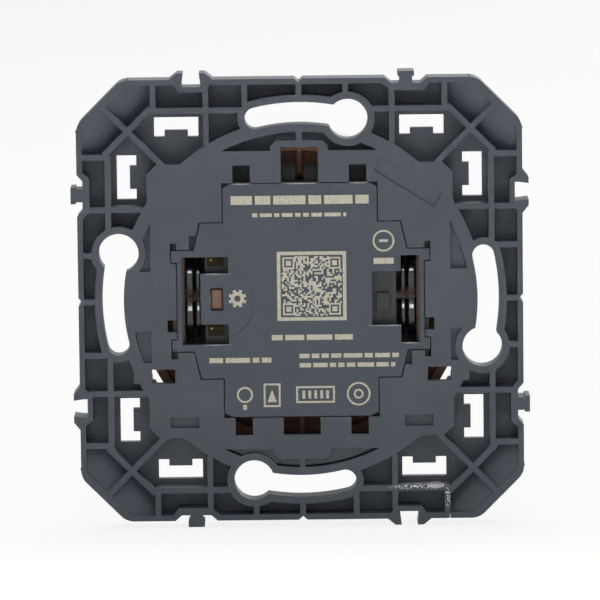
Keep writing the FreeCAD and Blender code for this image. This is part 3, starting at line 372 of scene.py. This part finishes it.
def print_signs(shape):
    """Plain signs: rings, a bar, framed shapes and stripes."""
    line = 0.3
    ink_box(shape, 11.7, 14.9, 5.7, 6.65)
    ink_ring(shape, 13.3, 9.4, 1.75, 1.75 - line)
    ink_box(shape, 12.6, 14.0, 9.2, 9.6)
    ink_ring(shape, -9.1, -15.2, 1.3, 1.3 - line)
    ink_box(shape, -9.4, -8.8, -17.6, -16.8)
    ink_frame(shape, -6.1, -3.4, -17.2, -13.4, line)
    ink_frame(shape, -0.9, 5.3, -16.6, -13.9, line)
    for left in (0.1, 1.05, 2.0, 2.95, 3.9):
        ink_box(shape, left, left + 0.45, -15.9, -14.6)
    inked(shape, [(-5.5, -16.4), (-4.0, -16.4), (-4.75, -14.4)])
    ink_ring(shape, 9.1, -15.2, 1.9, 1.9 - line, 32)
    ink_ring(shape, 9.1, -15.2, 0.8, 0.8 - line, 20)


def print_gear(shape, x=-10.1, z=0.35, teeth=8, tip=1.45, root=1.08, hole=0.5):
    """Toothed wheel beside the pairing button, as four-sided patches from its hole to its teeth."""
    quarter = 2 * math.pi / teeth / 4
    for tooth in range(teeth):
        for part, reach in ((0, root), (1, tip), (2, tip), (3, root)):
            start = (tooth * 4 + part) * quarter
            end = start + quarter
            inked(shape, [around(x, z, hole, start), around(x, z, reach, start),
                          around(x, z, reach, end), around(x, z, hole, end)])


ink = ink_material()
for name, maker in (("print_rows", print_rows), ("print_signs", print_signs), ("print_gear", print_gear)):
    new_piece(name, maker, ink, "frame")


# Framed square of cells: a printed code field of the kind such modules carry, here with cells at random.
# Its cells are one grid of squares from which seeded chance takes about half, lifted to the ink's height.
def new_nodes(name, sockets):
    """Geometry node group with named inputs, and the nodes where they come in and the shape goes out."""
    group = bpy.data.node_groups.new(name, "GeometryNodeTree")
    group.interface.new_socket("Geometry", in_out="OUTPUT", socket_type="NodeSocketGeometry")
    for label, kind in sockets:
        group.interface.new_socket(label, in_out="INPUT", socket_type=kind)
    return group, group.nodes.new("NodeGroupInput"), group.nodes.new("NodeGroupOutput")


def add_node(group, kind, links=(), **values):
    """Node with its settings and its inputs, linked or set."""
    made = group.nodes.new(kind)
    for key, value in values.items():
        setattr(made, key, value)
    for label, source in links:
        if isinstance(source, bpy.types.NodeSocket):
            group.links.new(source, made.inputs[label])
        else:
            made.inputs[label].default_value = source
    return made


def placed_and_painted(group, given, result, mesh, turn):
    """Ends a group: the mesh is turned, moved to the given place and given its material."""
    placed = add_node(group, "GeometryNodeTransform", [
        ("Geometry", mesh), ("Translation", given.outputs["Place"]), ("Rotation", turn)])
    real = add_node(group, "GeometryNodeRealizeInstances", [("Geometry", placed.outputs["Geometry"])])
    painted = add_node(group, "GeometryNodeSetMaterial", [
        ("Geometry", real.outputs["Geometry"]), ("Material", given.outputs["Material"])])
    group.links.new(painted.outputs["Geometry"], result.inputs[0])
    return group


def made_by_nodes(name, group, values, body, smooth=False):
    """Runs the node group once, and keeps its result as a plain mesh."""
    carrier = bpy.data.objects.new(name, bpy.data.meshes.new(name + "_seed"))
    bpy.context.scene.collection.objects.link(carrier)
    run = carrier.modifiers.new("shape", "NODES")
    run.node_group = group
    for item in group.interface.items_tree:
        if item.in_out == "INPUT":
            run[item.identifier] = values[item.name]
    bpy.context.view_layer.update()
    done = carrier.evaluated_get(bpy.context.evaluated_depsgraph_get())
    mesh = bpy.data.meshes.new_from_object(done)
    carrier.modifiers.remove(run)
    carrier.data = mesh
    for face in mesh.polygons:
        face.use_smooth = smooth
    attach(carrier, body)
    return carrier


def cell_field_nodes():
    """Grid of cells, some taken by chance, lifted, and stood upright on the cover."""
    group, given, result = new_nodes("cell_field", (
        ("Side", "NodeSocketFloat"), ("Corner", "NodeSocketFloat"), ("Cells", "NodeSocketInt"),
        ("Thickness", "NodeSocketFloat"), ("Seed", "NodeSocketInt"),
        ("Place", "NodeSocketVector"), ("Material", "NodeSocketMaterial")))
    corners = add_node(group, "ShaderNodeMath", [(0, given.outputs["Cells"]), (1, 1.0)], operation="ADD")
    grid = add_node(group, "GeometryNodeMeshGrid", [
        ("Size X", given.outputs["Side"]), ("Size Y", given.outputs["Side"]),
        ("Vertices X", corners.outputs[0]), ("Vertices Y", corners.outputs[0])])
    chance = add_node(group, "FunctionNodeRandomValue", [
        ("Seed", given.outputs["Seed"])], data_type="BOOLEAN")
    middle = add_node(group, "GeometryNodeInputPosition")
    place = add_node(group, "ShaderNodeSeparateXYZ", [(0, middle.outputs[0])])
    outside = []
    for axis in ("X", "Y"):
        size = add_node(group, "ShaderNodeMath", [(0, place.outputs[axis])], operation="ABSOLUTE")
        outside.append(add_node(group, "ShaderNodeMath", [
            (0, size.outputs[0]), (1, given.outputs["Corner"])], operation="GREATER_THAN"))
    corner = add_node(group, "ShaderNodeMath", [
        (0, outside[0].outputs[0]), (1, outside[1].outputs[0])], operation="MULTIPLY")
    taken = add_node(group, "FunctionNodeBooleanMath", [
        (0, chance.outputs[3]), (1, corner.outputs[0])], operation="OR")
    kept = add_node(group, "GeometryNodeDeleteGeometry", [
        ("Geometry", grid.outputs["Mesh"]), ("Selection", taken.outputs[0])], domain="FACE")
    lifted = add_node(group, "GeometryNodeExtrudeMesh", [
        ("Mesh", kept.outputs["Geometry"]), ("Offset Scale", given.outputs["Thickness"]),
        ("Individual", False)])
    return placed_and_painted(group, given, result, lifted.outputs["Mesh"], (-math.pi / 2, 0, 0))


CODE_MIDDLE = (-1.775e-3, 2.25e-3)
cells = made_by_nodes("print_cells", cell_field_nodes(), {
    "Side": 9.57e-3, "Corner": 2.61e-3, "Cells": 33, "Thickness": INK_THICK, "Seed": 11,
    "Place": (CODE_MIDDLE[0], INK_ON, CODE_MIDDLE[1]), "Material": ink}, "frame")


def print_code_frame(shape):
    """Line round the square of cells, and a framed dot in each of its corners."""
    ink_frame(shape, -3.75, 7.3, -3.3, 7.8, 0.55)
    box, dot = 0.95, 0.4
    for x, z in ((-1.9, 5.95), (5.45, 5.95), (-1.9, -1.45), (5.45, -1.45)):
        ink_frame(shape, x - box, x + box, z - box, z + box, 0.27)
        ink_box(shape, x - dot, x + dot, z - dot, z + dot)


new_piece("print_code_frame", print_code_frame, ink, "frame")


# Ledges of the housing: dark stops on its upper end, seen low in the three upper windows.
# The middle window shows two of them, with the rocker's rib between.
def housing_ledges(shape):
    """Four bars with a slanted upper edge, all behind the frame and clear of the rocker's travel."""
    foot, rear, front, slant = 18.7e-3, 5.75e-3, 6.55e-3, 0.35e-3
    for left, right, top in ((-3.1e-3, -0.65e-3, 21.1e-3), (0.65e-3, 3.1e-3, 21.1e-3),
                             (-11.2e-3, -7.8e-3, 21.7e-3), (7.8e-3, 11.2e-3, 21.7e-3)):
        section = [(foot, rear), (top - 0.5e-3, rear), (top, rear + slant), (top, front), (foot, front)]
        add_skin(shape, [[(x, -deep, z) for z, deep in section] for x in (left, right)])


new_piece("housing_ledges", housing_ledges, housing_plastic, "frame")


# Rocker: a round off-white cap over a brown inner carrier that swings on two steel pins.
# The cap is smooth with a soft gloss; the carrier is plain moulded brown and shows in the rear openings.
# The wear plates beside the lever are of a darker brown, and stay with the housing.
rocker_plastic = moulded("rocker_plastic", srgb(232, 231, 226), 0.36, 3e-4, 0.02, 6e-6)[0]
dress(rocker_plastic, "rocker_cap")
carrier_plastic = moulded("carrier_plastic", srgb(170, 124, 100), 0.5, 2.4e-4, 0.12)[0]
dress(carrier_plastic, "rocker_carrier")
wear_plastic = moulded("wear_plastic", srgb(84, 64, 54), 0.5, 2.4e-4, 0.15)[0]
dress(wear_plastic, "wear_plate_right", "wear_plate_left")


def wear_lips(shape):
    """Rounded lip along the front of each wear plate, beside the lever's bars."""
    half_long = 6.9e-3
    section = [(18.48e-3, 6e-3), (18.48e-3, 2.3e-3), (18.6e-3, 2e-3),
               (18.8e-3, 1.85e-3), (19e-3, 1.95e-3), (19e-3, 6e-3)]
    for side in (1, -1):
        add_skin(shape, [[(side * x, -deep, z) for x, deep in section] for z in (-half_long, half_long)])


new_piece("wear_lips", wear_lips, wear_plastic, "frame")


# Harvester's lever: glossy black acetal, polished by its own travel where the lobes rub.
# It swings on a shaft of its own and carries the magnet between two pole plates.
# Its waist is brown and duller, in a band round the middle.
WAIST = (0, 0, 0.6e-3), (1, 1, 1.5e-3)
lever_plastic, tree, shader, where, tint = moulded(
    "lever_plastic", srgb(22, 23, 27), 0.12, 4e-4, 0.15, 5e-7, 0)
waist_band = levels(tree, near_spot(tree, where, *WAIST), 0.0, 1.0, 0.1, 0.6)
brown = shades(tree, noise(tree, where, 6e-4), srgb(48, 38, 31), srgb(68, 52, 42))
tree.links.new(mixed(tree, waist_band, tint, brown), shader.inputs["Base Color"])
shader.inputs["IOR"].default_value = 1.58
gloss = shader.inputs["Roughness"].links[0].from_socket
tree.links.new(mixed(tree, waist_band, gloss, levels(tree, waist_band, 0.5, 0.6)), shader.inputs["Roughness"])
dress(lever_plastic, "harvester_lever")


RAIL_LONG = 12.2e-3
LOBE_AT = RAIL_LONG / 4
CROWN_TO = 1.05e-3
SHOULDER_TO = 1.85e-3


def lobe_fall(off):
    """How far a lobe's front falls back at a distance from its middle: crown, flat shoulder, end."""
    crown = min(off, CROWN_TO)
    shoulder = min(max(off, CROWN_TO), SHOULDER_TO) - CROWN_TO
    end = max(off, SHOULDER_TO) - SHOULDER_TO
    return crown ** 2 / 6e-3 + 0.41 * shoulder + 56 * shoulder ** 2 + 0.5 * end + 167 * end ** 2


def lever_rails(shape):
    """Polished fronts of the lever's bars: two rounded lobes one above the other, at both sides."""
    long_steps, cross_steps, body_deep, edge_sag = 60, 12, 3.4e-3, 0.3
    for inner, outer, front in ((17.15e-3, 18.4e-3, 2.5e-3), (16.1e-3, 16.75e-3, 2.8e-3)):
        half = (outer - inner) / 2
        across = [2 * part / cross_steps - 1 for part in range(cross_steps + 1)]
        for side in (1, -1):
            rings = []
            for step in range(long_steps + 1):
                z = (step / long_steps - 0.5) * RAIL_LONG
                crest = front + lobe_fall(abs(abs(z) - LOBE_AT))
                ring = [(side * (inner + half * (1 + share)), -(crest + half * edge_sag * share ** 8), z)
                        for share in across]
                rings.append(ring + [(side * x, -(front + body_deep), z) for x in (outer, inner)])
            add_skin(shape, rings)


new_piece("lever_rails", lever_rails, lever_plastic, "lever", True)


# Metal parts: tinned or plated strip, soft iron, a nickel-plated magnet and ground steel pins.
# Each is stamped or turned, so its gloss runs in fine lines along it.
# The contacts are painted dark, as painted shade of their deep recess, with two painted gold glints on
# them.
def metal(name, colour, roughness, lines, depth=4e-6):
    """Metal with fine lines along one axis and a faint stain."""
    made, tree, shader, where = new_surface(name, roughness, 1.0)
    stain = noise(tree, where, 2.5e-3, 4.0)
    dull = [part * 0.72 for part in colour[:3]] + [1.0]
    tree.links.new(shades(tree, stain, dull, colour), shader.inputs["Base Color"])
    streaks = noise(tree, where, 1.2e-4, 2.0, lines)
    tree.links.new(levels(tree, streaks, roughness - 0.08, roughness + 0.12), shader.inputs["Roughness"])
    raised(tree, shader, streaks, depth)
    return made


ALONG_X = (0.06, 1, 1)
ALONG_Z = (1, 1, 0.06)
# Painted shade and glints: the contacts' dark base colour is painted shade for their recess, and two gold
# spots are painted glints.
GLINT_SPOTS = [((14.3e-3, 0, z), (3e-4, 9e-3, 2.4e-4)) for z in (6.3e-3, -4.7e-3)]
contact_metal = metal("gold_plating", srgb(46, 42, 34), 0.4, ALONG_X)
tree = contact_metal.node_tree
shader = tree.nodes["Principled BSDF"]
where = tree.nodes["Texture Coordinate"].outputs["Object"]
recess_shade = shader.inputs["Base Color"].links[0].from_socket
gold = shades(tree, noise(tree, where, 3e-4), srgb(140, 116, 44), srgb(190, 160, 74))
glinting = in_spots(tree, where, GLINT_SPOTS, 0.1, 0.6, 0.8)
tree.links.new(mixed(tree, glinting, recess_shade, gold), shader.inputs["Base Color"])
dress(contact_metal, "contact_spring_upper", "contact_spring_lower")
dress(metal("tinned_strip", srgb(198, 200, 202), 0.35, ALONG_X), "antenna")
dress(metal("soft_iron", srgb(150, 150, 152), 0.42, ALONG_X), "core_bar", "core_leg_right", "core_leg_left",
      "pole_plate_rear", "pole_plate_front")
dress(metal("magnet_nickel", srgb(206, 200, 188), 0.2, ALONG_X), "magnet")
dress(metal("pin_steel", srgb(176, 178, 180), 0.25, ALONG_X), "hinge_pin_right", "hinge_pin_left")


# Centring spring: one leaf of thin strip steel that lies flat on the housing's front by its middle.
# Each half leans out to the rocker and bends with it in use; it is drawn as two halves that meet in the
# middle.
spring_steel = metal("spring_steel", srgb(146, 148, 156), 0.3, ALONG_Z)
leaf_low, leaf_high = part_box("centring_spring")
LEAF_SEAT = 4e-3
LEAF_THICK = 2e-4


def leaf_half(toward):
    """Half of the leaf: flat on its seat, then a slant that narrows to a rounded tip."""
    def make(shape):
        steps, tip_from, narrowed, tip_round = 30, 0.88, 0.22, 0.75
        rings = []
        for step in range(steps + 1):
            share = step / steps
            along = leaf_high.z * share
            rise = max(0.0, (along - LEAF_SEAT) / (leaf_high.z - LEAF_SEAT))
            rear = leaf_high.y - (leaf_high.y - leaf_low.y - LEAF_THICK) * rise ** 1.15
            wide = leaf_high.x * (1 - narrowed * rise ** 2)
            wide *= math.sqrt(1 - tip_round * (max(0.0, share - tip_from) / (1 - tip_from)) ** 2)
            front = rear - LEAF_THICK
            rings.append([(x, y, toward * along) for x, y in (
                (-wide, rear), (wide, rear), (wide, front), (-wide, front))])
        add_skin(shape, rings)
    return make


for name, toward in (("spring_leaf_upper", 1), ("spring_leaf_lower", -1)):
    leaf = new_piece(name, leaf_half(toward), spring_steel, None)
    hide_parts("centring_spring")
    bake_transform(leaf)


# Coil: enamelled copper wire wound in even turns on a bobbin of heat-resistant plastic.
# The outer layer is one helix of wire that lies half sunk in the layer below.
bobbin_plastic = moulded("bobbin_plastic", srgb(196, 176, 138), 0.45, 2.4e-4, 0.08)[0]
dress(bobbin_plastic, "coil_bobbin")


def wire_material():
    """Copper under clear enamel, lighter and darker from turn to turn."""
    made, tree, shader, where = new_surface("copper_wire", 0.3, 0.9)
    tone = noise(tree, where, 6e-4, 3.0, (1, 0.2, 0.2))
    tree.links.new(shades(tree, tone, srgb(150, 78, 44), srgb(214, 128, 82)), shader.inputs["Base Color"])
    tree.links.new(levels(tree, tone, 0.22, 0.4), shader.inputs["Roughness"])
    raised(tree, shader, noise(tree, where, 1.5e-4), 3e-6)
    shader.inputs["Coat Weight"].default_value = 0.6
    return made


def helix_nodes():
    """Helix of wire along the x axis."""
    group, given, result = new_nodes("wire_helix", (
        ("Turns", "NodeSocketFloat"), ("Radius", "NodeSocketFloat"), ("Length", "NodeSocketFloat"),
        ("Wire", "NodeSocketFloat"), ("Place", "NodeSocketVector"), ("Material", "NodeSocketMaterial")))
    path = add_node(group, "GeometryNodeCurveSpiral", [
        ("Resolution", 20), ("Rotations", given.outputs["Turns"]), ("Height", given.outputs["Length"]),
        ("Start Radius", given.outputs["Radius"]), ("End Radius", given.outputs["Radius"])])
    section = add_node(group, "GeometryNodeCurvePrimitiveCircle", [
        ("Resolution", 6), ("Radius", given.outputs["Wire"])])
    wire = add_node(group, "GeometryNodeCurveToMesh", [
        ("Curve", path.outputs["Curve"]), ("Profile Curve", section.outputs["Curve"]), ("Fill Caps", True)])
    return placed_and_painted(group, given, result, wire.outputs["Mesh"], (0, math.pi / 2, 0))


copper = wire_material()
dress(copper, "coil_winding")
coil_low, coil_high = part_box("coil_winding")
WIRE = 1.1e-4
TURN_PITCH = 2.05 * WIRE
coil_radius = (coil_high.z - coil_low.z) / 2
coil_length = coil_high.x - coil_low.x - 2 * WIRE
coil_middle = (coil_low + coil_high) / 2
winding = made_by_nodes("winding_turns", helix_nodes(), {
    "Turns": coil_length / TURN_PITCH, "Radius": coil_radius, "Length": coil_length, "Wire": WIRE,
    "Place": (coil_low.x + WIRE, coil_middle.y, coil_middle.z), "Material": copper}, "frame", True)


# Circuit board: dark green-grey solder mask over a woven glass laminate, with its parts soldered on.
# The chips are black epoxy, the inductor dark green ceramic and the storage capacitor a sleeved can.
def board_material():
    """Solder mask whose weave shows through faintly."""
    made, tree, shader, where = new_surface("board_laminate", 0.38)
    weave = tree.nodes.new("ShaderNodeTexWave")
    weave.inputs["Scale"].default_value = 900
    weave.inputs["Distortion"].default_value = 1.5
    tree.links.new(where, weave.inputs["Vector"])
    drift = noise(tree, where, 4e-3)
    tint = mixed(tree, drift, shades(tree, weave.outputs["Fac"], srgb(37, 42, 40), srgb(44, 49, 47)),
                 shades(tree, drift, srgb(32, 37, 36), srgb(49, 56, 53)))
    tree.links.new(tint, shader.inputs["Base Color"])
    tree.links.new(levels(tree, drift, 0.3, 0.45), shader.inputs["Roughness"])
    raised(tree, shader, weave.outputs["Fac"], 6e-6)
    return made


dress(board_material(), "circuit_board")
dress(moulded("chip_epoxy", srgb(34, 34, 36), 0.5, 1.2e-4, 0.1)[0],
      "radio_chip", "rectifier", "pairing_switch")
dress(moulded("green_ceramic", srgb(38, 42, 34), 0.4, 2e-4, 0.15)[0], "chip_inductor")
dress(moulded("capacitor_sleeve", srgb(40, 62, 96), 0.3, 4e-4, 0.08, 5e-6)[0], "storage_capacitor")


def solder_material():
    """Bright solder, dulled a little by flux."""
    made, tree, shader, where = new_surface("solder", 0.3, 1.0)
    flux = noise(tree, where, 4e-4)
    tone = shades(tree, flux, srgb(168, 168, 166), srgb(214, 214, 212))
    tree.links.new(tone, shader.inputs["Base Color"])
    tree.links.new(levels(tree, flux, 0.2, 0.45), shader.inputs["Roughness"])
    raised(tree, shader, flux, 1e-5)
    return made


LEG_THICK = 2.5e-4
LEG_SHARE = 0.44
board_low, board_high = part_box("circuit_board")


def chip_legs(chip, reach, count):
    """Legs that come out of two edges of a chip and lie on the board's face on that side."""
    low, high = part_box(chip)
    face, lift = (board_high.y, LEG_THICK) if low.y > board_low.y else (board_low.y, -LEG_THICK)
    pitch = (high.z - low.z) / count
    half_wide = pitch * LEG_SHARE / 2

    def make(shape):
        for edge, foot in ((low.x, low.x - reach), (high.x, high.x + reach)):
            for number in range(count):
                middle = low.z + (number + 0.5) * pitch
                outline = [(edge, middle - half_wide), (foot, middle - half_wide),
                           (foot, middle + half_wide), (edge, middle + half_wide)]
                add_plate(shape, outline, face, face + lift)
    return make


solder = solder_material()
for chip, reach, count in (("radio_chip", 5e-4, 8), ("rectifier", 6e-4, 2)):
    new_piece(chip + "_legs", chip_legs(chip, reach, count), solder, "frame")


# Pairing button: a small brown-pink plunger of soft plastic behind its window in the cover.
# A finger or a pen tip pushes it in by a fraction of a millimetre.
button_plastic = moulded("button_plastic", srgb(112, 84, 70), 0.45, 2e-4, 0.06)[0]
dress(button_plastic, "pairing_plunger")


# Studio: pale floor and white surroundings, soft lamps, and the camera where the photograph was taken.
# What the eye or a reflection sees past the object is white; lamps and a faint even glow light the object.
def seen_or_mirrored(tree):
    """1 or more for a ray from the camera, a reflection or a clear part, and 0 for one that only lights."""
    ray = tree.nodes.new("ShaderNodeLightPath").outputs
    both = join_values(tree, "ADD", ray["Is Camera Ray"], ray["Is Glossy Ray"])
    return join_values(tree, "ADD", both, ray["Is Transmission Ray"])


def floor_material(white_share):
    """Pale matt paper, whose seen colour is mostly its own white, so that the shadow stays faint."""
    made, tree, shader, where = new_surface("studio_paper", 0.9)
    fibre = noise(tree, where, 2e-3)
    pale = shades(tree, fibre, srgb(248, 248, 246), srgb(254, 254, 252))
    tree.links.new(pale, shader.inputs["Base Color"])
    shader.inputs["Specular IOR Level"].default_value = 0.0
    white = tree.nodes.new("ShaderNodeEmission")
    white.inputs["Color"].default_value = srgb(255, 255, 255)
    share = levels(tree, seen_or_mirrored(tree), 0.0, white_share, 0.0, 1.0)
    mix = tree.nodes.new("ShaderNodeMixShader")
    tree.links.new(share, mix.inputs["Fac"])
    tree.links.new(shader.outputs[0], mix.inputs[1])
    tree.links.new(white.outputs[0], mix.inputs[2])
    tree.links.new(mix.outputs[0], tree.nodes["Material Output"].inputs["Surface"])
    return made


def add_floor():
    """Floor under the frame's lowest edge."""
    mesh = bpy.data.meshes.new("studio_floor")
    clear, half = 2e-4, 1.5
    level = solid_box[0][2] - clear
    corners = [(-half, -half, level), (half, -half, level), (half, half, level), (-half, half, level)]
    mesh.from_pydata(corners, [], [(0, 1, 2, 3)])
    mesh.materials.append(floor_material(0.85))
    floor = bpy.data.objects.new("studio_floor", mesh)
    bpy.context.scene.collection.objects.link(floor)


def add_lamp(name, place, size, power, target=(0, 0, 0), spread=180):
    """Square soft lamp turned to the target, the plate's centre unless another is given."""
    data = bpy.data.lights.new(name, "AREA")
    data.size = size
    data.energy = power
    data.spread = math.radians(spread)
    lamp = bpy.data.objects.new(name, data)
    lamp.location = place
    lamp.rotation_euler = (Vector(place) - Vector(target)).to_track_quat("Z", "Y").to_euler()
    bpy.context.scene.collection.objects.link(lamp)


def add_surroundings(seen, lighting):
    """White where it is seen or mirrored, softer where it only lights."""
    world = bpy.data.worlds.new("studio")
    bpy.context.scene.world = world
    world.use_nodes = True
    tree = world.node_tree
    tree.nodes.clear()
    back = tree.nodes.new("ShaderNodeBackground")
    back.inputs["Color"].default_value = srgb(255, 255, 253)
    tree.links.new(levels(tree, seen_or_mirrored(tree), lighting, seen, 0.0, 1.0), back.inputs["Strength"])
    out = tree.nodes.new("ShaderNodeOutputWorld")
    tree.links.new(back.outputs[0], out.inputs["Surface"])


add_floor()
add_surroundings(1.0, 0.1)
add_lamp("key_lamp", (0.15, 1.1, 0.1), 0.9, 0.66)
add_lamp("bounce_lamp", (0.0, 0.32, 0.35), 0.15, 0.33, (0.0, 0.16, -0.05), 25)
add_lamp("spark_lamp", (0.0, 0.72, 0.66), 0.15, 1.0)
add_lamp("top_lamp", (0.0, -0.3, 1.0), 1.0, 8.5)
add_lamp("room_lamp", (-0.5, -1.0, 0.3), 0.9, 2.6)

SENSOR = 36
DISTANCE = 0.9
WIDTH_SEEN = 0.0958
ELEVATION = math.radians(7.2)
ROLL = math.radians(-0.652)
AIM = Vector((0.00012, 0, 0.00003))
toward = Vector((0, math.cos(ELEVATION), math.sin(ELEVATION)))
data = bpy.data.cameras.new("camera")
data.sensor_width = SENSOR
data.lens = SENSOR * DISTANCE / WIDTH_SEEN
data.clip_start = 0.01
camera = bpy.data.objects.new("camera", data)
camera.location = AIM + toward * DISTANCE
camera.rotation_mode = "QUATERNION"
camera.rotation_quaternion = toward.to_track_quat("Z", "Y") @ Quaternion((0, 0, 1), ROLL)
bpy.context.scene.collection.objects.link(camera)
bpy.context.scene.camera = camera
bpy.context.scene.view_settings.view_transform = "Standard"
